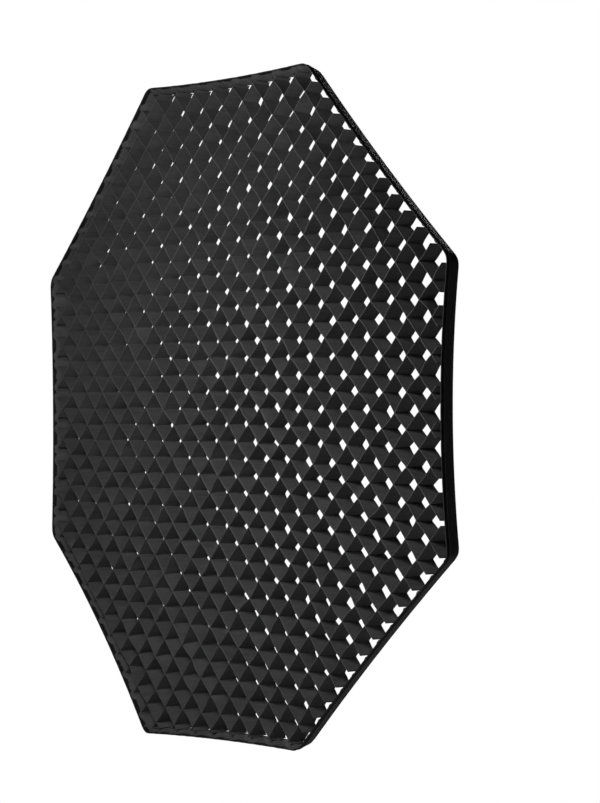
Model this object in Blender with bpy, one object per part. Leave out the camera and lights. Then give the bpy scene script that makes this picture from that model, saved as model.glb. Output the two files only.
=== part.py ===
"""Honeycomb grid of an octagonal softbox: two families of black cloth strips that cross on edge.

Axes: +X to the right, +Z up and -Y out of the front, the side that the light leaves by.
The origin is the middle of the grid, halfway through its depth. The octagon stands with a flat
at its top, so the strips run on the two diagonals, and each cell is a square on its corner.
Every strip is slotted to half its depth at each crossing: the rising strips from the front
edge and the falling strips from the rear edge, so that the two families lock together.
"""

import math

import bpy
from mathutils import Matrix, Vector

# The whole grid
SPAN = 1.500            # across the octagon, from corner to corner
SIDES = 8
DEPTH = 0.040           # of every strip and of the border, front to back
CELL = 0.050            # between neighbouring strips
STRIPS = 26             # in each family
BOW = 0.010             # how far the middle of each side is pulled in by the strips
LEAN = 0.012            # how much further in the border's rear edge lies than its front edge
CORNER_CUT = 0.06       # share of half a side that each rounded corner takes up

# Cloth and trim
CLOTH = 0.0008          # thickness of a strip
BAND = 0.0012           # thickness of the border band
TAPE = 0.0020           # thickness of the hook tape
TAPE_WIDTH = 0.025
BINDING = 0.0006        # thickness of the binding folded over the band's front edge
BINDING_WIDTH = 0.008
GAP = 0.0003            # between pieces that touch

# How finely the round stretches are drawn
SIDE_STEPS = 7          # odd, so that the middle facet of each side is square to it
CORNER_STEPS = 3

HALF_TURN_OF_SIDE = math.pi / SIDES
APOTHEM = SPAN / 2 * math.cos(HALF_TURN_OF_SIDE)
FRONT = -DEPTH / 2
REAR = DEPTH / 2
SLOT = CLOTH + 2 * GAP
RISING = math.radians(45)
FALLING = -RISING

# Distances of the pieces' faces inside the octagon that the hook tape fills
TAPE_INNER = TAPE
BAND_OUTER = TAPE_INNER + GAP
BAND_INNER = BAND_OUTER + BAND
BINDING_OUTER = BAND_OUTER - GAP - BINDING
BINDING_INNER = BAND_INNER + GAP + BINDING
TAPE_FRONT = FRONT + BINDING_WIDTH + GAP


def clear_scene():
    """Empty the file, so that the grid is built the same way each time."""
    for item in list(bpy.data.objects):
        bpy.data.objects.remove(item, do_unlink=True)


def collection(name):
    """Return a new collection, linked to the scene."""
    group = bpy.data.collections.new(name)
    bpy.context.scene.collection.children.link(group)
    return group


def material(name, colour, roughness):
    """Return a plain cloth or plastic material."""
    finish = bpy.data.materials.new(name)
    finish.use_nodes = True
    shader = finish.node_tree.nodes["Principled BSDF"]
    shader.inputs["Base Color"].default_value = (*colour, 1.0)
    shader.inputs["Roughness"].default_value = roughness
    shader.inputs["Metallic"].default_value = 0.0
    return finish


def side_point(side, share, inset):
    """A point on one bowed side; share runs from -1 at one corner to 1 at the next."""
    reach = APOTHEM - inset - BOW * (1 - share * share)
    along = (APOTHEM - inset) * math.tan(HALF_TURN_OF_SIDE) * share
    turn = side * 2 * HALF_TURN_OF_SIDE
    x = reach * math.cos(turn) - along * math.sin(turn)
    z = reach * math.sin(turn) + along * math.cos(turn)
    return x, z


def corner_point(side, step, inset):
    """A point on the rounded corner after one side, between the two sides' ends."""
    start = side_point(side, 1 - CORNER_CUT, inset)
    peak = side_point(side, 1, inset)
    end = side_point(side + 1, CORNER_CUT - 1, inset)
    t = step / CORNER_STEPS
    return tuple((1 - t) ** 2 * a + 2 * t * (1 - t) * b + t * t * c
                 for a, b, c in zip(start, peak, end))


def outline(inset):
    """The octagon with bowed sides and rounded corners, this far inside the hook tape's face."""
    points = []
    for side in range(SIDES):
        for step in range(SIDE_STEPS + 1):
            share = (1 - CORNER_CUT) * (2 * step / SIDE_STEPS - 1)
            points.append(side_point(side, share, inset))
        for step in range(1, CORNER_STEPS):
            points.append(corner_point(side, step, inset))
    return points


def flat_shape(name, loops, thickness, finish, group):
    """A plate with these loops as its edges, as a 2D curve extruded both ways."""
    curve = bpy.data.curves.new(name, "CURVE")
    curve.dimensions = "2D"
    curve.fill_mode = "BOTH"
    curve.extrude = thickness / 2
    for loop in loops:
        spline = curve.splines.new("POLY")
        spline.points.add(len(loop) - 1)
        for point, (x, y) in zip(spline.points, loop):
            point.co = (x, y, 0, 1)
        spline.use_cyclic_u = True
    curve.materials.append(finish)
    plate = bpy.data.objects.new(name, curve)
    group.objects.link(plate)
    return plate


def shrink(depth):
    """How much narrower than at its front edge the border is at this depth."""
    return 1 - LEAN * (depth - FRONT) / DEPTH / APOTHEM


def ring(name, outer, inner, front, rear, finish, group):
    """A ring that follows the octagon, between two insets and two depths, and leans with it."""
    hoop = flat_shape(name, [outline(outer), outline(inner)], rear - front, finish, group)
    hoop.rotation_euler = (math.pi / 2, 0, 0)
    hoop.location = (0, (front + rear) / 2, 0)
    solid = as_mesh(hoop)
    for vertex in solid.data.vertices:
        place = solid.matrix_world @ vertex.co
        narrow = shrink(place.y)
        leaned = Vector((place.x * narrow, place.y, place.z * narrow))
        vertex.co = solid.matrix_world.inverted() @ leaned
    return solid


def as_mesh(source):
    """Replace a curve object by the welded mesh that it draws."""
    bpy.context.view_layer.update()
    name = source.name
    group = source.users_collection[0]
    graph = bpy.context.evaluated_depsgraph_get()
    mesh = bpy.data.meshes.new_from_object(source.evaluated_get(graph))
    place = source.matrix_world.copy()
    bpy.data.objects.remove(source, do_unlink=True)
    solid = bpy.data.objects.new(name, mesh)
    solid.matrix_world = place
    group.objects.link(solid)
    weld = solid.modifiers.new("weld", "WELD")
    weld.merge_threshold = GAP / 10
    return solid


def edge_binding(finish, group, cutters):
    """The binding: a channel folded over the front edge of the border band."""
    name = "edge_binding"
    front = FRONT - GAP - BINDING
    rear = FRONT + BINDING_WIDTH
    channel = ring(name, BINDING_OUTER, BINDING_INNER, front, rear, finish, group)
    groove = ring("binding_groove", BAND_OUTER - GAP, BAND_INNER + GAP,
                  FRONT - GAP, rear + BINDING_WIDTH, finish, cutters)
    groove.hide_render = True
    groove.display_type = "WIRE"
    cut = channel.modifiers.new("groove", "BOOLEAN")
    cut.operation = "DIFFERENCE"
    cut.solver = "EXACT"
    cut.object = groove
    return channel


def offsets():
    """Distances of one family's strips from the middle of the grid."""
    return [(number - (STRIPS - 1) / 2) * CELL for number in range(STRIPS)]


def reach_along(offset, border):
    """How far a thin line at this offset runs before it meets the border."""
    turned = [(x * math.cos(RISING) + z * math.sin(RISING),
               z * math.cos(RISING) - x * math.sin(RISING)) for x, z in border]
    hits = []
    for (along_a, off_a), (along_b, off_b) in zip(turned, turned[1:] + turned[:1]):
        if (off_a - offset) * (off_b - offset) <= 0 and off_a != off_b:
            share = (offset - off_a) / (off_b - off_a)
            hits.append(along_a + share * (along_b - along_a))
    return min(abs(hit) for hit in hits)


def half_length(offset, border):
    """Half the length of the strip at this offset, clear of the border on both faces."""
    faces = (offset - CLOTH / 2, offset + CLOTH / 2)
    return min(reach_along(face, border) for face in faces)


def strip_outline(half, slots, from_front):
    """A strip on edge, x along it and y through the grid, slotted halfway at each crossing."""
    sign = 1 if from_front else -1
    mouth = sign * FRONT
    floor = sign * GAP / 2
    points = [(-half, mouth)]
    for middle in slots:
        for x, y in ((-1, mouth), (-1, floor), (1, floor), (1, mouth)):
            points.append((middle + x * SLOT / 2, y))
    points += [(half, mouth), (half, -mouth), (-half, -mouth)]
    return points


def strip_family(name, turn, from_front, finish, group):
    """All the strips that run one way."""
    narrow = shrink(REAR)
    border = [(x * narrow, z * narrow) for x, z in outline(BAND_INNER + GAP)]
    places = offsets()
    halves = {offset: half_length(offset, border) for offset in places}
    for number, offset in enumerate(places, start=1):
        slots = [cross for cross in places if abs(cross) + SLOT < halves[offset]]
        points = strip_outline(halves[offset], slots, from_front)
        strip = flat_shape(f"{name}_{number:02d}", [points], CLOTH, finish, group)
        strip.rotation_euler = (0, -turn, 0)
        strip.location = Matrix.Rotation(-turn, 3, "Y") @ Vector((0, 0, offset))


def main():
    """Build the grid."""
    clear_scene()
    parts = collection("honeycomb_grid")
    cutters = collection("cutters")
    strip_cloth = material("strip cloth", (0.018, 0.018, 0.019), 0.62)
    band_cloth = material("band cloth", (0.016, 0.016, 0.017), 0.70)
    hooks = material("hook tape", (0.012, 0.012, 0.012), 0.85)
    ribbon = material("binding ribbon", (0.010, 0.010, 0.011), 0.55)

    ring("border_band", BAND_OUTER, BAND_INNER, FRONT, REAR, band_cloth, parts)
    ring("hook_tape", 0, TAPE_INNER, TAPE_FRONT, TAPE_FRONT + TAPE_WIDTH, hooks, parts)
    edge_binding(ribbon, parts, cutters)
    strip_family("rising_strip", RISING, True, strip_cloth, parts)
    strip_family("falling_strip", FALLING, False, strip_cloth, parts)


main()
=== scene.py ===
"""Honeycomb grid of an octagonal softbox: its cloth, border, hook tape and stitching.

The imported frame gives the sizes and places. Each piece is drawn first as it was cut and sewn,
and then settled into the shape that the hung grid takes, with its sides pulled in, its corners
a little uneven and its rear edges drawn together. Each family has one short strip that the
frame lacks, at a left-hand corner. -Y is the front, where the light leaves.
"""

import functools
import math
import random

import bpy
from bpy.props import FloatProperty, FloatVectorProperty, IntProperty, PointerProperty
from mathutils import Matrix, Vector, noise


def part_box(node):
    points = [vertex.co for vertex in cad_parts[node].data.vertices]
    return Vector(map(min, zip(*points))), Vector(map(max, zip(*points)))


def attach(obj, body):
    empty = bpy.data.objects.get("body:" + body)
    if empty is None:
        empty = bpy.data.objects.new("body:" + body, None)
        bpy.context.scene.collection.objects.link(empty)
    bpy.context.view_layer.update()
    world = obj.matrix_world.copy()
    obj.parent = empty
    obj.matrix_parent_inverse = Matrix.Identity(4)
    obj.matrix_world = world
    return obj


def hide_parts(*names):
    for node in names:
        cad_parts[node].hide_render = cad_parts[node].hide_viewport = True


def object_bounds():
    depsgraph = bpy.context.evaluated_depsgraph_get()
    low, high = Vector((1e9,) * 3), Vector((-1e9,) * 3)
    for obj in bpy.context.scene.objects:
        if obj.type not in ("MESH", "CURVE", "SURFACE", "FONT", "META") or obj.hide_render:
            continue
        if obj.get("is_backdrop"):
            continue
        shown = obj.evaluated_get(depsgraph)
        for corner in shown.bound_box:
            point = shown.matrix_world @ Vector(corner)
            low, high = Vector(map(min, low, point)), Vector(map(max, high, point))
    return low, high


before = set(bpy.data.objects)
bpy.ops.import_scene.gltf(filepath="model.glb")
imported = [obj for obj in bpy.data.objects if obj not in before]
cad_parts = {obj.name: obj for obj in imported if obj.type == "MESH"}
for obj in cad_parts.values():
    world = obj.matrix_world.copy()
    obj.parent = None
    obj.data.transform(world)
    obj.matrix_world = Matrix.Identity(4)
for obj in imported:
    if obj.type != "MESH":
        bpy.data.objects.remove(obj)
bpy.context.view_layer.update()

bl_info = {
    "name": "Honeycomb Grid",
    "version": (1, 0, 0),
    "blender": (4, 5, 0),
    "location": "3D View > Sidebar > Grid",
    "description": "Dresses the frame of a softbox grid in cloth, tape and stitching",
    "category": "Add Mesh",
}

# ----------------------------------------------------------------------------------------
# What the frame says
# ----------------------------------------------------------------------------------------

STRIPS = sum(name.startswith("rising_strip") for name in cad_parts)
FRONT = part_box("rising_strip_01")[0].y
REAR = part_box("rising_strip_01")[1].y
DEPTH = REAR - FRONT
DIAGONAL = math.sqrt(0.5)


def middle(node):
    """The middle of a frame node's box."""
    low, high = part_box(node)
    return (low + high) / 2


CELL = (middle("rising_strip_02") - middle("rising_strip_01")).length

# How the border is drawn: the frame holds the sizes, and these are its shape
SIDES = 8
HALF_TURN = math.pi / SIDES
BOW = 0.010             # of each side, towards the middle
LEAN = 0.012            # of the border's rear edge, towards the middle
CORNER_CUT = 0.06       # share of half a side taken up by each rounded corner
TAPE_THICK = 0.002
BAND_INSET = 0.0029     # from the hook tape's face to the middle of the band cloth
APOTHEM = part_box("border_band")[1].x + BAND_INSET - 0.0006 + BOW * (1 - (1 - CORNER_CUT) ** 2)
STRIP_INSET = BAND_INSET + 0.0020   # from the hook tape's face to the strips' ends
TAPE_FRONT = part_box("hook_tape")[0].y
TAPE_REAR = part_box("hook_tape")[1].y

# How the hung grid departs from its drawing. The frame has one strip too few in each family,
# so part of the strips' shift to the right makes up for that, and isn't how the grid hangs.
LATTICE_SHIFT = Vector((0.0140, 0, -0.0043))
TUGS = (                # places (x, z) drawn aside, how widely, and the (x, z) shift of each
    (0.42, -0.56, 0.22, -0.018, 0.005), (0.62, 0.05, 0.26, 0.005, -0.003),
    (0.06, -0.05, 0.16, -0.004, 0.001), (-0.26, -0.12, 0.22, 0.006, 0.001),
    (0.05, 0.62, 0.22, 0.003, 0.000), (0.30, -0.30, 0.20, 0.000, 0.004),
    (-0.64, -0.28, 0.30, 0.018, 0.000), (-0.28, -0.72, 0.28, 0.015, -0.009),
    (-0.70, 0.06, 0.20, 0.018, 0.000), (-0.25, 0.68, 0.20, 0.005, 0.000),
    (-0.50, -0.38, 0.25, 0.008, -0.004),
)
REAR_TUGS = (           # the same for the rear edges alone
    (-0.20, -0.60, 0.30, 0.006, 0.002), (-0.45, 0.10, 0.25, 0.003, 0.000),
)
CORNER_PULL = (         # each corner's (x, z) shift, counter-clockwise from the right side's top
    (0.009, -0.001), (-0.020, 0.001), (-0.011, 0.005), (0.000, 0.002),
    (0.013, -0.011), (-0.008, -0.024), (-0.035, -0.002), (0.014, 0.005),
)
SIDE_BOW = (0.019, 0.007, 0.007, 0.005, 0.008, 0.016, 0.005, 0.007)
REAR_DRIFT = 0.0018     # of the rear edges towards the right, less on the right-hand side
LEFT_DRAW = 0.008       # of the left-hand border's rear edge, towards the middle
DOME = 0.003            # of the middle, forwards


def blend(start, end, share):
    """The value this share of the way from start to end."""
    return start + (end - start) * share


def smooth(share):
    """Ease in and out between 0 and 1."""
    share = max(0.0, min(1.0, share))
    return share * share * (3 - 2 * share)


def side_of(x, z):
    """Which side of the octagon a point faces, and how far along it, from -1 to 1."""
    angle = math.atan2(z, x)
    side = round(angle / (2 * HALF_TURN))
    share = math.tan(angle - side * 2 * HALF_TURN) / math.tan(HALF_TURN)
    return side % SIDES, max(-1.0, min(1.0, share))


def border_shift(side, share):
    """How far the hung border lies from the drawn one, at this place on it."""
    start = CORNER_PULL[side - 1]
    end = CORNER_PULL[side]
    mix = (share + 1) / 2
    turn = side * 2 * HALF_TURN
    bow = (SIDE_BOW[side] - BOW) * (1 - share * share)
    return (start[0] * (1 - mix) + end[0] * mix - bow * math.cos(turn),
            start[1] * (1 - mix) + end[1] * mix - bow * math.sin(turn))


def tugged(x, z, tugs):
    """How far these tugs draw a place aside."""
    shift = Vector((0, 0, 0))
    for tug_x, tug_z, width, along, up in tugs:
        strength = math.exp(-((x - tug_x) ** 2 + (z - tug_z) ** 2) / width ** 2)
        shift += Vector((along, 0, up)) * strength
    return shift


def settle_lattice(place):
    """Where a drawn point of the strips lies on the hung grid."""
    x, y, z = place
    rearward = (y - FRONT) / DEPTH
    shift = LATTICE_SHIFT + tugged(x, z, TUGS) + tugged(x, z, REAR_TUGS) * rearward
    shift.x += REAR_DRIFT * (1 - x / APOTHEM) * rearward
    rounded = max(0.0, 1 - (x * x + z * z) / APOTHEM ** 2)
    return Vector((x + shift.x, y - DOME * rounded, z + shift.z))


def settle_border(place):
    """Where a drawn point of the border lies on the hung grid."""
    x, y, z = place
    shift_x, shift_z = border_shift(*side_of(x, z))
    drawn_in = LEFT_DRAW * smooth(-2.2 * x / APOTHEM) * (y - FRONT) / DEPTH
    return Vector((x + shift_x + drawn_in, y, z + shift_z))


# ----------------------------------------------------------------------------------------
# Shared mesh work
# ----------------------------------------------------------------------------------------

def place_piece(name, mesh, finish, replaced=()):
    """Make an object of this mesh that rides on the grid's one body."""
    piece = bpy.data.objects.new(name, mesh)
    bpy.context.scene.collection.objects.link(piece)
    mesh.materials.append(finish)
    mesh.shade_smooth()
    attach(piece, "root")
    for node in replaced:
        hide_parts(node)
    return piece


def sheet_mesh(name, along, across, size, place):
    """A grid of faces whose points place(u, v) gives, u and v running 0 to 1.

    Each point keeps, as its lay, where it was on the flat cloth of this size in metres.
    """
    columns = across + 1
    points = []
    lay = []
    for step in range(along + 1):
        for rise in range(columns):
            points.append(place(step / along, rise / across))
            lay.extend((size[0] * step / along, size[1] * rise / across, size[2]))
    faces = []
    for step in range(along):
        for rise in range(across):
            corner = step * columns + rise
            faces.append((corner, corner + columns, corner + columns + 1, corner + 1))
    mesh = bpy.data.meshes.new(name)
    mesh.from_pydata(points, [], faces)
    mesh.attributes.new("lay", "FLOAT_VECTOR", "POINT").data.foreach_set("vector", lay)
    return mesh


def thread_mesh(name, paths, radius, sides=5):
    """Fine round threads along these lists of points, as one mesh."""
    points = []
    faces = []
    lay = []
    for path in paths:
        base = len(points)
        run = 0.0
        for index, here in enumerate(path):
            before = path[max(0, index - 1)]
            after = path[min(len(path) - 1, index + 1)]
            run += (here - before).length
            forward = (after - before).normalized()
            aside = forward.orthogonal().normalized()
            other = forward.cross(aside)
            for turn in range(sides):
                angle = math.tau * turn / sides
                points.append(here + (aside * math.cos(angle) + other * math.sin(angle)) * radius)
                lay.extend((run, radius * angle, base * 0.01))
        for index in range(len(path) - 1):
            for turn in range(sides):
                corner = base + index * sides + turn
                beside = base + index * sides + (turn + 1) % sides
                faces.append((corner, beside, beside + sides, corner + sides))
        last = base + (len(path) - 1) * sides
        faces.append(tuple(range(base + sides - 1, base - 1, -1)))
        faces.append(tuple(range(last, last + sides)))
    mesh = bpy.data.meshes.new(name)
    mesh.from_pydata(points, [], faces)
    mesh.attributes.new("lay", "FLOAT_VECTOR", "POINT").data.foreach_set("vector", lay)
    return mesh


def thicken(piece, thickness, hem=None):
    """Give a sheet its thickness; with a hem, only its long edges have all of it."""
    solid = piece.modifiers.new("thickness", "SOLIDIFY")
    solid.thickness = thickness
    solid.offset = 0
    if hem is not None:
        group = piece.vertex_groups.new(name="hem")
        for index, weight in hem:
            group.add([index], weight, "REPLACE")
        solid.vertex_group = group.name


# ----------------------------------------------------------------------------------------
# Shader groups and materials
# ----------------------------------------------------------------------------------------

def new_group(name, inputs, outputs):
    """An empty shader group with these named float or colour sockets."""
    group = bpy.data.node_groups.new(name, "ShaderNodeTree")
    for title, kind, value in inputs:
        socket = group.interface.new_socket(title, in_out="INPUT", socket_type=kind)
        if value is not None:
            socket.default_value = value
    for title, kind in outputs:
        group.interface.new_socket(title, in_out="OUTPUT", socket_type=kind)
    return group, group.nodes.new("NodeGroupInput"), group.nodes.new("NodeGroupOutput")


def join(tree, *links):
    """Link pairs of sockets."""
    for source, target in links:
        tree.links.new(source, target)


def maths(tree, operation, first, second=None, third=None):
    """A Math node with numbers or sockets on its inputs; returns its output."""
    node = tree.nodes.new("ShaderNodeMath")
    node.operation = operation
    for socket, value in zip(node.inputs, (first, second, third)):
        if value is None:
            continue
        if hasattr(value, "is_output"):
            tree.links.new(value, socket)
        else:
            socket.default_value = value
    return node.outputs[0]


def lay_of(tree):
    """The along and across outputs of the cloth's own lay, and the lay itself."""
    lay = tree.nodes.new("ShaderNodeAttribute")
    lay.attribute_name = "lay"
    split = tree.nodes.new("ShaderNodeSeparateXYZ")
    join(tree, (lay.outputs["Vector"], split.inputs[0]))
    return split.outputs["X"], split.outputs["Y"], lay.outputs["Vector"]


def noise_at(tree, where, scale, detail):
    """A noise texture's value at this place."""
    texture = tree.nodes.new("ShaderNodeTexNoise")
    texture.inputs["Scale"].default_value = scale
    texture.inputs["Detail"].default_value = detail
    join(tree, (where, texture.inputs["Vector"]))
    return texture.outputs[0]


def weave_group():
    """Plain-woven nylon: crossing threads, slubs and slow colour change."""
    group, given, made = new_group(
        "Woven nylon",
        [("Colour", "NodeSocketColor", (0.03, 0.03, 0.03, 1)),
         ("Pitch", "NodeSocketFloat", 0.0011), ("Mottle", "NodeSocketFloat", 0.7),
         ("Slub", "NodeSocketFloat", 0.8)],
        [("Colour", "NodeSocketColor"), ("Roughness", "NodeSocketFloat"),
         ("Height", "NodeSocketFloat")])
    nodes = group.nodes
    along, across, lay = lay_of(group)
    turns = maths(group, "DIVIDE", math.tau, given.outputs["Pitch"])
    warp = maths(group, "SINE", maths(group, "MULTIPLY", along, turns))
    weft = maths(group, "SINE", maths(group, "MULTIPLY", across, turns))
    threads = maths(group, "MULTIPLY", warp, weft)

    drawn_out = nodes.new("ShaderNodeVectorMath")
    drawn_out.operation = "MULTIPLY"
    drawn_out.inputs[1].default_value = (420, 28, 1)
    join(group, (lay, drawn_out.inputs[0]))
    slubs = noise_at(group, drawn_out.outputs[0], 1.0, 3.0)
    clouds = noise_at(group, lay, 14.0, 4.0)

    change = maths(group, "MULTIPLY_ADD", maths(group, "SUBTRACT", clouds, 0.5),
                   given.outputs["Mottle"], 1.0)
    streak = maths(group, "MULTIPLY", maths(group, "SUBTRACT", slubs, 0.5),
                   given.outputs["Slub"])
    strength = maths(group, "ADD", maths(group, "ADD", change, streak),
                     maths(group, "MULTIPLY", threads, 0.12))
    tone = nodes.new("ShaderNodeVectorMath")
    tone.operation = "SCALE"
    join(group, (given.outputs["Colour"], tone.inputs[0]), (strength, tone.inputs["Scale"]),
         (tone.outputs[0], made.inputs["Colour"]),
         (maths(group, "MULTIPLY_ADD", clouds, 0.16, 0.5), made.inputs["Roughness"]),
         (maths(group, "ADD", threads, slubs), made.inputs["Height"]))
    return group


def hook_group():
    """Rows of little hooks between two plain selvedges, on tape of this width."""
    group, given, made = new_group(
        "Rows of hooks",
        [("Width", "NodeSocketFloat", TAPE_REAR - TAPE_FRONT),
         ("Selvedge", "NodeSocketFloat", 0.0022), ("Pitch", "NodeSocketFloat", 0.0016)],
        [("Mask", "NodeSocketFloat"), ("Height", "NodeSocketFloat")])
    along, across, lay = lay_of(group)
    turns = maths(group, "DIVIDE", math.tau, given.outputs["Pitch"])
    rows = maths(group, "SINE", maths(group, "MULTIPLY", across, turns))
    posts = maths(group, "SINE", maths(group, "MULTIPLY", along, turns))
    dots = maths(group, "MAXIMUM", maths(group, "MULTIPLY", rows, posts), 0.0)
    ragged = maths(group, "MULTIPLY", dots, noise_at(group, lay, 900.0, 1.0))
    rim = maths(group, "MINIMUM", across,
                maths(group, "SUBTRACT", given.outputs["Width"], across))
    field = maths(group, "GREATER_THAN", rim, given.outputs["Selvedge"])
    mask = maths(group, "MULTIPLY", ragged, field)
    join(group, (mask, made.inputs["Mask"]),
         (maths(group, "MULTIPLY", mask, 2.0), made.inputs["Height"]))
    return group


def hem_highlight_group():
    """How much of the paler hem shows, from 0 to 1, near the front and rear edges: painted highlight
    of the folded hems catching the light, in patches.
    """
    group, given, made = new_group(
        "Painted hem highlight",
        [("Front", "NodeSocketFloat", FRONT), ("Rear", "NodeSocketFloat", REAR),
         ("Width", "NodeSocketFloat", 0.0015)],
        [("Mask", "NodeSocketFloat")])
    nodes = group.nodes
    where = nodes.new("ShaderNodeTexCoord")
    split = nodes.new("ShaderNodeSeparateXYZ")
    patches = nodes.new("ShaderNodeTexNoise")
    patches.inputs["Scale"].default_value = 22.0
    patches.inputs["Detail"].default_value = 3.0
    join(group, (where.outputs["Object"], split.inputs[0]),
         (where.outputs["Object"], patches.inputs["Vector"]))
    ahead = maths(group, "SUBTRACT", split.outputs["Y"], given.outputs["Front"])
    behind = maths(group, "SUBTRACT", given.outputs["Rear"], split.outputs["Y"])
    nearest = maths(group, "MINIMUM", ahead, behind)
    inside = maths(group, "SUBTRACT", 1.0, maths(group, "DIVIDE", nearest, given.outputs["Width"]))
    clear = maths(group, "MULTIPLY", maths(group, "MAXIMUM", inside, 0.0),
                  maths(group, "MULTIPLY_ADD", patches.outputs[0], 1.1, 0.35))
    join(group, (maths(group, "MINIMUM", clear, 1.0), made.inputs["Mask"]))
    return group


def shared_group(title, build):
    """The shader group of this title, built the first time it is asked for."""
    return bpy.data.node_groups.get(title) or build()


def cloth_material(name, colour, hem_highlight_colour, pitch, bump, hem_highlight_width, sheen):
    """Woven cloth with a paler hem, a painted highlight of its folded edges catching the light."""
    finish = bpy.data.materials.new(name)
    finish.use_nodes = True
    tree = finish.node_tree
    shader = tree.nodes["Principled BSDF"]
    weave = tree.nodes.new("ShaderNodeGroup")
    weave.node_tree = shared_group("Woven nylon", weave_group)
    weave.inputs["Colour"].default_value = (*colour, 1)
    weave.inputs["Pitch"].default_value = pitch
    # Painted highlight: the paler hem colour is mixed in near the front and rear edges.
    hem = tree.nodes.new("ShaderNodeGroup")
    hem.node_tree = shared_group("Painted hem highlight", hem_highlight_group)
    hem.inputs["Width"].default_value = hem_highlight_width
    mix = tree.nodes.new("ShaderNodeMix")
    mix.data_type = "RGBA"
    mix.inputs["B"].default_value = (*hem_highlight_colour, 1)
    relief = tree.nodes.new("ShaderNodeBump")
    relief.inputs["Strength"].default_value = bump
    relief.inputs["Distance"].default_value = 0.0002
    join(tree, (hem.outputs["Mask"], mix.inputs["Factor"]),
         (weave.outputs["Colour"], mix.inputs["A"]),
         (mix.outputs["Result"], shader.inputs["Base Color"]),
         (weave.outputs["Roughness"], shader.inputs["Roughness"]),
         (weave.outputs["Height"], relief.inputs["Height"]),
         (relief.outputs["Normal"], shader.inputs["Normal"]))
    shader.inputs["Specular IOR Level"].default_value = 0.12
    shader.inputs["Sheen Weight"].default_value = sheen
    shader.inputs["Sheen Roughness"].default_value = 0.45
    shader.inputs["Sheen Tint"].default_value = (1, 1, 1, 1)
    return finish


def tape_material(colour):
    """Hook tape: woven ground with rows of glossy hooks between its selvedges."""
    finish = cloth_material("hook tape", colour, colour, 0.0009, 0.4, 0.0001, 0.1)
    tree = finish.node_tree
    shader = tree.nodes["Principled BSDF"]
    ground = shader.inputs["Base Color"].links[0].from_socket
    woven = shader.inputs["Normal"].links[0].from_socket
    hooks = tree.nodes.new("ShaderNodeGroup")
    hooks.node_tree = shared_group("Rows of hooks", hook_group)
    mix = tree.nodes.new("ShaderNodeMix")
    mix.data_type = "RGBA"
    mix.inputs["B"].default_value = (*[min(1, 4 * part) for part in colour], 1)
    relief = tree.nodes.new("ShaderNodeBump")
    relief.inputs["Strength"].default_value = 1.0
    relief.inputs["Distance"].default_value = 0.0006
    join(tree, (hooks.outputs["Mask"], mix.inputs["Factor"]), (ground, mix.inputs["A"]),
         (mix.outputs["Result"], shader.inputs["Base Color"]),
         (hooks.outputs["Height"], relief.inputs["Height"]), (woven, relief.inputs["Normal"]),
         (relief.outputs["Normal"], shader.inputs["Normal"]))
    return finish


def thread_material(name, colour):
    """Twisted polyester thread with a soft gloss."""
    finish = bpy.data.materials.new(name)
    finish.use_nodes = True
    tree = finish.node_tree
    shader = tree.nodes["Principled BSDF"]
    along, across, lay = lay_of(tree)
    twist = maths(tree, "SINE", maths(tree, "ADD", maths(tree, "MULTIPLY", along, 9000.0),
                                      maths(tree, "MULTIPLY", across, 4000.0)))
    patches = noise_at(tree, lay, 60.0, 2.0)
    tone = tree.nodes.new("ShaderNodeMix")
    tone.data_type = "RGBA"
    tone.inputs["A"].default_value = (*[0.6 * part for part in colour], 1)
    tone.inputs["B"].default_value = (*[1.5 * part for part in colour], 1)
    relief = tree.nodes.new("ShaderNodeBump")
    relief.inputs["Strength"].default_value = 0.5
    relief.inputs["Distance"].default_value = 0.0001
    join(tree, (patches, tone.inputs["Factor"]), (tone.outputs["Result"], shader.inputs["Base Color"]),
         (twist, relief.inputs["Height"]), (relief.outputs["Normal"], shader.inputs["Normal"]),
         (maths(tree, "MULTIPLY_ADD", patches, 0.2, 0.35), shader.inputs["Roughness"]))
    shader.inputs["Sheen Weight"].default_value = 0.1
    return finish


# ----------------------------------------------------------------------------------------
# Settings
# ----------------------------------------------------------------------------------------

class ClothSettings(bpy.types.PropertyGroup):
    """Sizes and colours of the strips."""

    thickness: FloatProperty(name="Cloth Thickness", description="Thickness of the strip cloth",
                             default=0.0005, unit="LENGTH")
    hem: FloatProperty(name="Hem Thickness", description="Thickness of the strips' folded edges",
                       default=0.0008, unit="LENGTH")
    scatter: FloatProperty(name="Scatter", description="How far crossings stray from the drawing",
                           default=0.0017, unit="LENGTH")
    slack: FloatProperty(name="Slack", description="How far the cloth bellies between crossings",
                         default=0.0013, unit="LENGTH")
    crease: FloatProperty(name="Crease Depth", description="Height of the fine creases",
                          default=0.0006, unit="LENGTH")
    steps: IntProperty(name="Steps per Cell", description="Mesh steps along each cell", default=10)
    colour: FloatVectorProperty(name="Cloth Colour", description="Colour of the strip cloth",
                                subtype="COLOR", size=3, default=(0.050, 0.050, 0.051))
    # The paler hem colour is painted highlight, where the folded hems catch the light.
    hem_highlight_colour: FloatVectorProperty(name="Hem Colour", description="Colour of the painted highlight on the hems",
                                    subtype="COLOR", size=3, default=(0.08, 0.08, 0.08))


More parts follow.
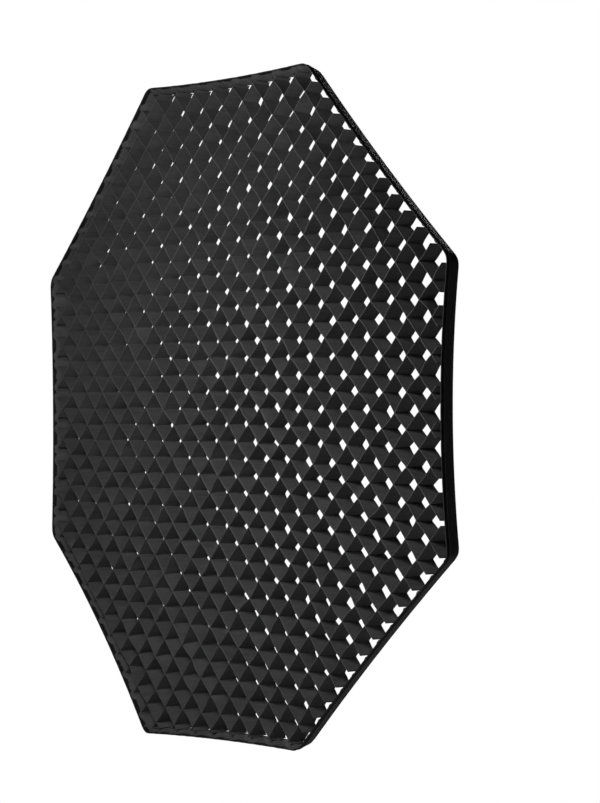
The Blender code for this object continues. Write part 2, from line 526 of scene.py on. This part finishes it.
class BorderSettings(bpy.types.PropertyGroup):
    """Sizes and colours of the border band and its trim."""

    thickness: FloatProperty(name="Band Thickness", description="Thickness of the band cloth",
                             default=0.0009, unit="LENGTH")
    pucker: FloatProperty(name="Pucker Depth", description="How far strip ends pull the band in",
                          default=0.012, unit="LENGTH")
    pucker_width: FloatProperty(name="Pucker Width", description="Half the width of each pucker",
                                default=0.006, unit="LENGTH")
    gather: FloatProperty(name="Gather Depth", description="Height of the gathers in the band",
                          default=0.0016, unit="LENGTH")
    binding: FloatProperty(name="Binding Width", description="Width of the folded edge ribbon",
                           default=0.007, unit="LENGTH")
    thread: FloatProperty(name="Thread Thickness", description="Thickness of the sewing thread",
                          default=0.0005, unit="LENGTH")
    thread_colour: FloatVectorProperty(name="Thread Colour", description="Colour of the thread",
                                       subtype="COLOR", size=3, default=(0.02, 0.02, 0.021))
    colour: FloatVectorProperty(name="Band Colour", description="Colour of the band cloth",
                                subtype="COLOR", size=3, default=(0.048, 0.048, 0.049))
    tape_colour: FloatVectorProperty(name="Tape Colour", description="Colour of the hook tape",
                                     subtype="COLOR", size=3, default=(0.012, 0.012, 0.013))
    ribbon_colour: FloatVectorProperty(name="Ribbon Colour",
                                       description="Colour of the edge binding",
                                       subtype="COLOR", size=3, default=(0.005, 0.005, 0.006))


class StageSettings(bpy.types.PropertyGroup):
    """The room round the grid."""

    ambient: FloatProperty(name="Ambient", description="Strength of the room's even light",
                           default=0.02)
    key: FloatProperty(name="Key Light", description="Power of the main soft light",
                       default=22.0, unit="POWER")
    fill: FloatProperty(name="Fill Light", description="Power of the weaker light",
                        default=6.0, unit="POWER")
    rear: FloatProperty(name="Rear Light", description="Power of the light behind the grid",
                        default=30.0, unit="POWER")
    drop: FloatProperty(name="Floor Drop", description="From the grid's lowest edge to the floor",
                        default=1.20, unit="LENGTH")
    floor_colour: FloatVectorProperty(name="Floor Colour", description="Colour of the floor",
                                      subtype="COLOR", size=3, default=(0.93, 0.93, 0.93))


# ----------------------------------------------------------------------------------------
# The border's outline
# ----------------------------------------------------------------------------------------

SIDE_STEPS = 130
CORNER_STEPS = 8
AROUND = SIDES * (SIDE_STEPS + CORNER_STEPS)
SEAM = (6 + 0.5 * SIDE_STEPS / (SIDE_STEPS + CORNER_STEPS)) / SIDES


def drawn_side(side, share, inset):
    """A point (x, z) on a drawn side of the octagon, this far inside the hook tape's face."""
    reach = APOTHEM - inset - BOW * (1 - share * share)
    along = (APOTHEM - inset) * math.tan(HALF_TURN) * share
    turn = side * 2 * HALF_TURN
    return Vector((reach * math.cos(turn) - along * math.sin(turn),
                   reach * math.sin(turn) + along * math.cos(turn)))


def drawn_rim(around, inset):
    """A point (x, z) on the outline; around runs 0 to 1 from the middle of the bottom side."""
    step = (around + SEAM) % 1.0 * AROUND
    side, step = divmod(step, SIDE_STEPS + CORNER_STEPS)
    side = int(side)
    end = 1 - CORNER_CUT
    if step <= SIDE_STEPS:
        return drawn_side(side, end * (2 * step / SIDE_STEPS - 1), inset)
    share = (step - SIDE_STEPS) / CORNER_STEPS
    start, peak, finish = (drawn_side(side, end, inset), drawn_side(side, 1, inset),
                           drawn_side(side + 1, -end, inset))
    return (1 - share) ** 2 * start + 2 * share * (1 - share) * peak + share ** 2 * finish


def rim_point(around, inset, y):
    """A point on the settled border, this far in and at this depth, leaning with it."""
    narrow = 1 - LEAN * (y - FRONT) / DEPTH / APOTHEM
    flat = drawn_rim(around, inset) * narrow
    return settle_border(Vector((flat.x, y, flat.y)))


@functools.lru_cache
def rim_outline(inset, y):
    """Points (x, z) once round the settled border."""
    steps = 800
    points = [rim_point(step / steps, inset, y) for step in range(steps)]
    return [Vector((point.x, point.z)) for point in points]


def rim_crossings(start, direction, inset, y):
    """How far along a line, both ways from its start, it meets the settled border."""
    flat = rim_outline(inset, y)
    across = Vector((-direction.z, direction.x))
    origin = Vector((start.x, start.z))
    heights = [(point - origin).dot(across) for point in flat]
    runs = []
    for here, there, low, high in zip(flat, flat[1:] + flat[:1], heights,
                                      heights[1:] + heights[:1]):
        if (low < 0) != (high < 0):
            meet = here.lerp(there, low / (low - high)) - origin
            runs.append(meet.x * direction.x + meet.y * direction.z)
    return min(runs), max(runs)


# ----------------------------------------------------------------------------------------
# Strips
# ----------------------------------------------------------------------------------------

CREASED_PATCHES = (     # (x, z, radius) where the grid was folded for its bag
    (-0.17, 0.13, 0.10), (-0.09, -0.17, 0.12), (0.10, 0.05, 0.14), (0.33, -0.60, 0.09),
)


def creasing(x, z):
    """How much deeper than usual the creases are at this place."""
    most = 1.0
    for patch_x, patch_z, radius in CREASED_PATCHES:
        away = math.hypot(x - patch_x, z - patch_z) / radius
        most = max(most, 1.0 + 1.8 * math.exp(-away * away))
    return most


# The frame's strips, and one short strip more in each family at the left-hand corners
NUMBERS = {"rising": range(1, STRIPS + 2), "falling": range(0, STRIPS + 1)}


class Strip:
    """One strip of cloth on edge, drawn straight and then loosened."""

    ROWS = (0.0, 0.012, 0.035, 0.12, 0.28, 0.5, 0.72, 0.88, 0.965, 0.988, 1.0)

    def __init__(self, family, number, settings):
        self.node = f"{family}_strip_{number:02d}"
        self.drawn = 1 <= number <= STRIPS
        slope = 1 if family == "rising" else -1
        self.along = Vector((DIAGONAL, 0, DIAGONAL * slope))
        self.aside = Vector((-DIAGONAL * slope, 0, DIAGONAL))
        if self.drawn:
            self.centre = middle(self.node)
        else:
            inner = max(1, min(STRIPS, number))
            beyond = number - inner
            self.centre = (middle(f"{family}_strip_{inner:02d}") * 2
                           - middle(f"{family}_strip_{inner - beyond:02d}"))
        self.start = self.reach(0)
        self.end = self.reach(1)
        self.settings = settings
        self.chance = random.Random(number * 2 + (slope > 0))
        self.seed = number * 3.7 + (50 if slope > 0 else 0)
        scatter = settings.scatter
        self.front_stray = [self.chance.gauss(0, scatter) for _ in range(STRIPS + 2)]
        self.rear_stray = [0.5 * stray + self.chance.gauss(0, scatter * 0.7)
                           for stray in self.front_stray]
        self.front_belly = [self.chance.gauss(0, settings.slack) for _ in range(STRIPS + 2)]
        self.rear_belly = [self.chance.gauss(0, settings.slack) for _ in range(STRIPS + 2)]

    def reach(self, end):
        """How far along the drawn strip its start (0) or end (1) meets the settled border."""
        run = 0.0
        for _ in range(3):
            place = settle_lattice(self.centre + self.along * run + Vector((0, DEPTH / 2, 0)))
            run += rim_crossings(place, self.along, STRIP_INSET, REAR)[end]
        return run

    def sideways(self, run, depth):
        """How far the loosened cloth lies to the side of the drawn strip."""
        position = run / CELL + (STRIPS + 1) / 2
        cell = max(0, min(STRIPS, int(position)))
        share = max(0.0, min(1.0, position - cell))
        near_end = smooth(min(run - self.start, self.end - run) / CELL)
        front = blend(self.front_stray[cell], self.front_stray[cell + 1], share)
        rear = blend(self.rear_stray[cell], self.rear_stray[cell + 1], share)
        belly = blend(self.front_belly[cell], self.rear_belly[cell], depth)
        return (blend(front, rear, depth) + belly * math.sin(math.pi * share)) * near_end

    def crease(self, run, depth, place):
        """Height of the fine creases, deeper in the folded patches."""
        rough = Vector((run * 42, depth * 1.7, self.seed))
        fine = Vector((run * 120 + depth * 1.5, depth * 2.2 - run * 30, self.seed + 9))
        height = 0.65 * noise.noise(rough) + 0.45 * noise.noise(fine)
        return height * self.settings.crease * creasing(place.x, place.z) * 1.6

    def point(self, share, depth):
        """A point on the settled strip."""
        run = blend(self.start, self.end, share)
        drawn = self.centre + self.along * run
        drawn.y = blend(FRONT, REAR, depth)
        aside = self.sideways(run, depth) + self.crease(run, depth, drawn)
        return settle_lattice(drawn + self.aside * aside)

    def build(self, finish):
        length = self.end - self.start
        along = max(8, round(length / CELL * self.settings.steps))
        across = len(self.ROWS) - 1
        mesh = sheet_mesh(self.node + "_cloth", along, across, (length, DEPTH, self.seed),
                          lambda share, depth: self.point(share, self.ROWS[round(depth * across)]))
        piece = place_piece(self.node + "_cloth", mesh, finish,
                            [self.node] if self.drawn else [])
        thin = self.settings.thickness / self.settings.hem
        hem = [(index, 1.0 if index % (across + 1) in (0, 1, across - 1, across) else thin)
               for index in range(len(mesh.vertices))]
        thicken(piece, self.settings.hem, hem)


def family_strips(family, settings):
    """The strips that run one way, not yet built."""
    return [Strip(family, number, settings) for number in NUMBERS[family]]


def build_family(family, settings):
    """Make all the strips that run one way."""
    # The hem colour given here is painted highlight on the strips' front and rear edges.
    finish = cloth_material(f"{family} strip cloth", settings.colour, settings.hem_highlight_colour,
                            0.0012, 0.5, 0.0004, 0.03)
    for strip in family_strips(family, settings):
        strip.build(finish)


# ----------------------------------------------------------------------------------------
# Border
# ----------------------------------------------------------------------------------------

class Border:
    """The border's band, drawn in where the strips' ends are sewn to it."""

    def __init__(self, settings, cloth):
        self.settings = settings
        chance = random.Random(11)
        self.ends = []
        for family in ("rising", "falling"):
            for strip in family_strips(family, cloth):
                for run in (strip.start, strip.end):
                    place = settle_lattice(strip.centre + strip.along * run)
                    self.ends.append((place.x, place.z, chance.uniform(0.7, 1.0)))
        self.pulls = {}

    def pull(self, around):
        """How strongly a strip's end draws the band in here, from 0 to 1."""
        if around not in self.pulls:
            here = rim_point(around, BAND_INSET, REAR)
            strongest = 0.0
            for x, z, strength in self.ends:
                away = math.hypot(here.x - x, here.z - z) / self.settings.pucker_width
                if away < 3:
                    strongest = max(strongest, strength * math.exp(-away * away))
            self.pulls[around] = strongest
        return self.pulls[around]

    def inset(self, around, depth):
        """How far inside the leaning drawn border the band lies."""
        drawn_in = self.settings.pucker * (1 - depth) * smooth(depth / 0.3)
        flat = drawn_rim(around, 0)
        ripple = noise.noise(Vector((flat.x * 55, flat.y * 55, depth * 1.3)))
        fine = noise.noise(Vector((flat.x * 150, flat.y * 150, depth * 2.2 + 7)))
        loose = math.sin(math.pi * min(1.0, depth * 1.1)) ** 0.5 if depth < 0.9 else 0.0
        gather = self.settings.gather * (ripple + 0.5 * fine + 0.4) * loose
        return BAND_INSET + drawn_in * self.pull(around) + max(-0.0002, gather)

    def point(self, around, depth):
        """A point on the settled band."""
        return rim_point(around, self.inset(around, depth), blend(FRONT, REAR, depth))


def build_band(settings, cloth):
    """The gathered band that the strips' ends are sewn into."""
    border = Border(settings, cloth)
    length = rim_length(BAND_INSET)
    mesh = sheet_mesh("border_cloth", AROUND, 14, (length, DEPTH, 1.0), border.point)
    # The paler (0.07) edge colour is painted highlight on the band's front and rear edges.
    finish = cloth_material("border cloth", settings.colour, (0.07, 0.07, 0.07),
                            0.0014, 0.5, 0.001, 0.05)
    piece = place_piece("border_cloth", mesh, finish, ["border_band"])
    thicken(piece, settings.thickness)


def rim_length(inset):
    """The length once round the settled border."""
    steps = 400
    points = [rim_point(step / steps, inset, FRONT) for step in range(steps)]
    return sum((after - before).length for before, after in zip(points, points[1:] + points[:1]))


def build_tape(settings):
    """The hook tape sewn round the outside of the band."""
    across = 12

    def point(around, share):
        lift = 0.00012 * math.sin(share * math.pi * 10)
        return rim_point(around, TAPE_THICK / 2 - lift, blend(TAPE_FRONT, TAPE_REAR, share))

    width = TAPE_REAR - TAPE_FRONT
    length = rim_length(TAPE_THICK / 2)
    mesh = sheet_mesh("hook_strip", AROUND, across, (length, width, 2.0), point)
    piece = place_piece("hook_strip", mesh, tape_material(settings.tape_colour),
                        ["hook_tape"])
    thicken(piece, TAPE_THICK * 0.7)


def build_binding(settings):
    """The ribbon folded over the band's front edge."""
    half_gap = 0.0010
    width = settings.binding
    fold = math.pi * half_gap
    total = 2 * width + fold

    def point(around, share):
        run = share * total
        wobble = 0.0004 * noise.noise(Vector((around * 260, share * 2, 3)))
        if run < width:
            return rim_point(around, BAND_INSET - half_gap + wobble, FRONT + width - run)
        if run > width + fold:
            return rim_point(around, BAND_INSET + half_gap + wobble, FRONT + run - width - fold)
        turn = (run - width) / half_gap
        return rim_point(around, BAND_INSET - half_gap * math.cos(turn) + wobble,
                         FRONT - half_gap * math.sin(turn))

    length = rim_length(BAND_INSET)
    mesh = sheet_mesh("binding_ribbon", AROUND, 16, (length, total, 3.0), point)
    # The paler (0.02) edge colour is painted highlight on the ribbon's edges.
    finish = cloth_material("binding ribbon", settings.ribbon_colour, (0.02, 0.02, 0.02),
                            0.0009, 0.6, 0.0001, 0.0)
    piece = place_piece("binding_ribbon", mesh, finish, ["edge_binding"])
    thicken(piece, 0.0005)


# ----------------------------------------------------------------------------------------
# Stitching
# ----------------------------------------------------------------------------------------

def stitch_row(inset, y, length, gap, sink):
    """Paths of the stitches of one seam round the border."""
    count = int(rim_length(inset) / (length + gap))
    paths = []
    for number in range(count):
        start = number / count
        step = length / (length + gap) / count
        depths = (sink, 0, 0, sink)
        if start + step > 1:
            break
        paths.append([rim_point(start + step * share, inset + depth, y)
                      for share, depth in zip((0, 0.15, 0.85, 1), depths)])
    return paths


def build_seams(settings):
    """The seams that hold the hook tape and the binding."""
    finish = thread_material("seam thread", settings.thread_colour)
    outside = -settings.thread * 0.4
    rows = {
        "tape_seam_front": stitch_row(0.0003 + outside, TAPE_FRONT + 0.0016, 0.0026, 0.0008, 0.0008),
        "tape_seam_rear": stitch_row(0.0003 + outside, TAPE_REAR - 0.0016, 0.0026, 0.0008, 0.0008),
        "binding_seam": stitch_row(BAND_INSET + 0.0013, FRONT + settings.binding - 0.0015,
                                   0.0026, 0.0008, -0.0008),
        "binding_seam_outside": stitch_row(BAND_INSET - 0.0013,
                                           FRONT + settings.binding - 0.0015,
                                           0.0026, 0.0008, 0.0008),
    }
    for name, paths in rows.items():
        place_piece(name, thread_mesh(name, paths, settings.thread / 2), finish)


def build_tacks(settings, cloth):
    """The thread tacks that hold the strips together where they cross."""
    finish = thread_material("tack thread", settings.thread_colour)
    rising_strips = family_strips("rising", cloth)
    falling_strips = family_strips("falling", cloth)
    chance = random.Random(5)
    for name, depth, outward in (("front_tacks", 0, -1), ("rear_tacks", 1, 1)):
        paths = []
        for rising in rising_strips:
            for falling in falling_strips:
                meet = crossing(rising, falling, depth)
                if meet is None:
                    continue
                for lift in (-0.0007, 0.0007):
                    tilt = chance.uniform(-0.0006, 0.0006)
                    paths.append([meet + Vector((x, outward * out, lift + tilt * x / 0.002))
                                  for x, out in ((-0.0024, -0.0032), (-0.0014, 0.0003),
                                                 (0.0, 0.0007), (0.0014, 0.0003),
                                                 (0.0024, -0.0032))])
        place_piece(name, thread_mesh(name, paths, settings.thread / 2), finish)


def crossing(rising, falling, depth):
    """Where two loosened strips cross, or None if one of them ends before it."""
    offset = falling.centre - rising.centre
    run = offset.dot(rising.along)
    other = -offset.dot(falling.along)
    clear = 0.004
    if not (rising.start + clear < run < rising.end - clear
            and falling.start + clear < other < falling.end - clear):
        return None
    drawn = rising.centre + rising.along * run
    drawn.y = blend(FRONT, REAR, depth)
    return settle_lattice(drawn + rising.aside * rising.sideways(run, depth)
                          + falling.aside * falling.sideways(other, depth))


# ----------------------------------------------------------------------------------------
# Operators
# ----------------------------------------------------------------------------------------

class GRID_OT_stage(bpy.types.Operator):
    """Set the floor, the lights, the room and the camera"""

    bl_idname = "grid.stage"
    bl_label = "Build Stage"

    def execute(self, context):
        settings = context.scene.grid_stage
        scene = context.scene
        scene.view_settings.view_transform = "Standard"

        world = bpy.data.worlds.new("studio room")
        world.use_nodes = True
        scene.world = world
        tree = world.node_tree
        tree.nodes.clear()
        out = tree.nodes.new("ShaderNodeOutputWorld")
        seen = tree.nodes.new("ShaderNodeBackground")
        lit = tree.nodes.new("ShaderNodeBackground")
        seen.inputs["Strength"].default_value = 1.0
        seen.inputs["Color"].default_value = (1, 1, 1, 1)
        lit.inputs["Strength"].default_value = settings.ambient
        path = tree.nodes.new("ShaderNodeLightPath")
        mix = tree.nodes.new("ShaderNodeMixShader")
        join(tree, (path.outputs["Is Camera Ray"], mix.inputs[0]),
             (lit.outputs[0], mix.inputs[1]), (seen.outputs[0], mix.inputs[2]),
             (mix.outputs[0], out.inputs[0]))

        low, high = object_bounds()
        bpy.ops.mesh.primitive_circle_add(vertices=96, radius=14, fill_type="NGON",
                                          location=(0, 0, low.z - settings.drop))
        floor = context.object
        floor.name = "floor"
        pale = bpy.data.materials.new("pale floor")
        pale.use_nodes = True
        shader = pale.node_tree.nodes["Principled BSDF"]
        grain = pale.node_tree.nodes.new("ShaderNodeTexNoise")
        grain.inputs["Scale"].default_value = 3.0
        tone = pale.node_tree.nodes.new("ShaderNodeMix")
        tone.data_type = "RGBA"
        tone.inputs["A"].default_value = (*settings.floor_colour, 1)
        tone.inputs["B"].default_value = (*[0.98 * part for part in settings.floor_colour], 1)
        join(pale.node_tree, (grain.outputs[0], tone.inputs["Factor"]),
             (tone.outputs["Result"], shader.inputs["Base Color"]))
        shader.inputs["Roughness"].default_value = 0.9
        glow = pale.node_tree.nodes.new("ShaderNodeEmission")
        path = pale.node_tree.nodes.new("ShaderNodeLightPath")
        both = pale.node_tree.nodes.new("ShaderNodeMixShader")
        join(pale.node_tree, (path.outputs["Is Camera Ray"], both.inputs[0]),
             (shader.outputs[0], both.inputs[1]), (glow.outputs[0], both.inputs[2]),
             (both.outputs[0], pale.node_tree.nodes["Material Output"].inputs[0]))
        floor.data.materials.append(pale)
        floor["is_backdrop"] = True

        self.lamp("key", (0.60, -1.10, 0.50), 0.5, settings.key)
        self.lamp("fill", (1.30, -1.00, -0.75), 0.6, settings.fill)
        self.lamp("rear", (-1.60, 2.40, 1.20), 1.2, settings.rear)

        lens = bpy.data.cameras.new("camera")
        lens.lens = 109.68
        lens.sensor_width = 36
        lens.clip_end = 60
        camera = bpy.data.objects.new("camera", lens)
        scene.collection.objects.link(camera)
        turn = (Matrix.Rotation(math.radians(52.143), 3, "Z")
                @ Matrix.Rotation(math.radians(90.1355), 3, "X")
                @ Matrix.Rotation(math.radians(0.307), 3, "Z"))
        camera.location = (4.138, -3.040, -0.0006)
        camera.rotation_euler = turn.to_euler()
        scene.camera = camera
        return {"FINISHED"}

    def lamp(self, name, place, size, power):
        """Add a square soft light that faces the middle of the grid."""
        data = bpy.data.lights.new(name, "AREA")
        data.shape = "SQUARE"
        data.size = size
        data.energy = power
        lamp = bpy.data.objects.new(name, data)
        lamp.location = place
        lamp.rotation_euler = (-Vector(place)).to_track_quat("-Z", "Y").to_euler()
        lamp.visible_camera = False
        bpy.context.scene.collection.objects.link(lamp)


class GRID_OT_rising_strips(bpy.types.Operator):
    """Make the strips that run from lower left to upper right"""

    bl_idname = "grid.rising_strips"
    bl_label = "Build Rising Strips"

    def execute(self, context):
        build_family("rising", context.scene.grid_cloth)
        return {"FINISHED"}


class GRID_OT_falling_strips(bpy.types.Operator):
    """Make the strips that run from upper left to lower right"""

    bl_idname = "grid.falling_strips"
    bl_label = "Build Falling Strips"

    def execute(self, context):
        build_family("falling", context.scene.grid_cloth)
        return {"FINISHED"}


class GRID_OT_border(bpy.types.Operator):
    """Make the border band, its hook tape and its edge binding"""

    bl_idname = "grid.border"
    bl_label = "Build Border"

    def execute(self, context):
        settings = context.scene.grid_border
        build_band(settings, context.scene.grid_cloth)
        build_tape(settings)
        build_binding(settings)
        return {"FINISHED"}


class GRID_OT_stitching(bpy.types.Operator):
    """Sew the border's seams and tack the strips where they cross"""

    bl_idname = "grid.stitching"
    bl_label = "Sew Stitching"

    def execute(self, context):
        build_seams(context.scene.grid_border)
        build_tacks(context.scene.grid_border, context.scene.grid_cloth)
        return {"FINISHED"}


class GRID_PT_tools(bpy.types.Panel):
    """The grid's settings and its steps in order"""

    bl_label = "Honeycomb Grid"
    bl_idname = "GRID_PT_tools"
    bl_space_type = "VIEW_3D"
    bl_region_type = "UI"
    bl_category = "Grid"

    def draw(self, context):
        layout = self.layout
        for settings in (context.scene.grid_cloth, context.scene.grid_border,
                         context.scene.grid_stage):
            box = layout.box()
            for name in settings.__annotations__:
                box.prop(settings, name)
        for operator in STEPS:
            layout.operator(operator.bl_idname)


SETTINGS = {"grid_cloth": ClothSettings, "grid_border": BorderSettings,
            "grid_stage": StageSettings}
STEPS = (GRID_OT_stage, GRID_OT_border, GRID_OT_rising_strips, GRID_OT_falling_strips,
         GRID_OT_stitching)
CLASSES = (*SETTINGS.values(), *STEPS, GRID_PT_tools)


def register():
    """Add the classes and the scene's settings."""
    for item in CLASSES:
        bpy.utils.register_class(item)
    for name, group in SETTINGS.items():
        setattr(bpy.types.Scene, name, PointerProperty(type=group))


def unregister():
    """Take the settings and classes away again."""
    for name in SETTINGS:
        delattr(bpy.types.Scene, name)
    for item in reversed(CLASSES):
        bpy.utils.unregister_class(item)


def main():
    """Build every piece."""
    register()
    bpy.ops.grid.stage()
    bpy.ops.grid.border()
    bpy.ops.grid.rising_strips()
    bpy.ops.grid.falling_strips()
    bpy.ops.grid.stitching()


if __name__ == "__main__":
    main()
